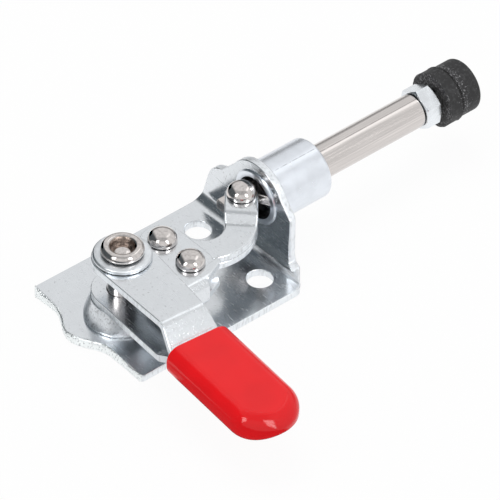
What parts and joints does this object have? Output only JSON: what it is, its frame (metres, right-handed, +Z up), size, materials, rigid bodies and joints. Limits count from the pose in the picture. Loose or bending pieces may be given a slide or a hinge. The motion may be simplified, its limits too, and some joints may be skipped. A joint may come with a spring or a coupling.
{
  "type": "toggle clamp",
  "caption": "Push-pull toggle clamp: a folded sheet base guides a rubber-tipped plunger, moved and locked by a swinging handle with a dipped red grip.",
  "frame": {"origin": "centre of the four mounting holes on the underside of the base", "axes": "+X along the plunger towards its rubber tip, +Y away from the grip, +Z up from the base"},
  "size_m": [0.0883, 0.0609, 0.0182],
  "materials": {
    "zinc_sheet": "bright zinc plate, satin",
    "zinc_turned": "bright zinc plate over turned steel",
    "bright_steel": "polished steel",
    "red_vinyl": "glossy dipped vinyl",
    "black_rubber": "moulded, satin"
  },
  "bodies": {
    "base": {"base_plate": "zinc_sheet", "plunger_barrel": "zinc_turned", "pivot_spacer": "zinc_turned", "main_rivet": "bright_steel", "pivot_washer": "zinc_turned"},
    "handle": {"handle_strip": "zinc_sheet", "crank_bracket": "zinc_sheet", "grip": "red_vinyl", "crank_rivet": "bright_steel", "stop_rivet": "bright_steel", "stop_spacer": "bright_steel"},
    "link": {"link_upper_plate": "zinc_sheet", "link_lower_plate": "zinc_sheet", "plunger_pin": "bright_steel"},
    "plunger": {"plunger_rod": "bright_steel"},
    "tip": {"tip_screw": "bright_steel", "tip_rubber": "black_rubber"},
    "nut": {"locknut": "zinc_turned"}
  },
  "joints": [
    {"name": "handle_swing", "type": "hinge", "parent": "base", "child": "handle", "pos_m": [-0.01575, 0, 0], "axis": [0, 0, 1], "range_deg": [-130, 0]},
    {"name": "link_pivot", "type": "hinge", "parent": "handle", "child": "link", "pos_m": [-0.00685, 0, 0], "axis": [0, 0, 1], "range_deg": [0, 153]},
    {"name": "plunger_slide", "type": "slide", "parent": "base", "child": "plunger", "axis": [1, 0, 0], "range_m": [-0.016, 0]},
    {"name": "tip_adjust", "type": "slide", "parent": "plunger", "child": "tip", "axis": [1, 0, 0], "range_m": [0, 0.005]},
    {"name": "locknut_turn", "type": "hinge", "parent": "plunger", "child": "nut", "pos_m": [0.052, 0, 0.01125], "axis": [1, 0, 0], "continuous": true}
  ],
  "couplings": [
    {"joint": "link_pivot", "follows": "handle_swing", "ratio": -1.1743},
    {"joint": "plunger_slide", "follows": "handle_swing", "m_per_rad": 0.0070459}
  ]
}
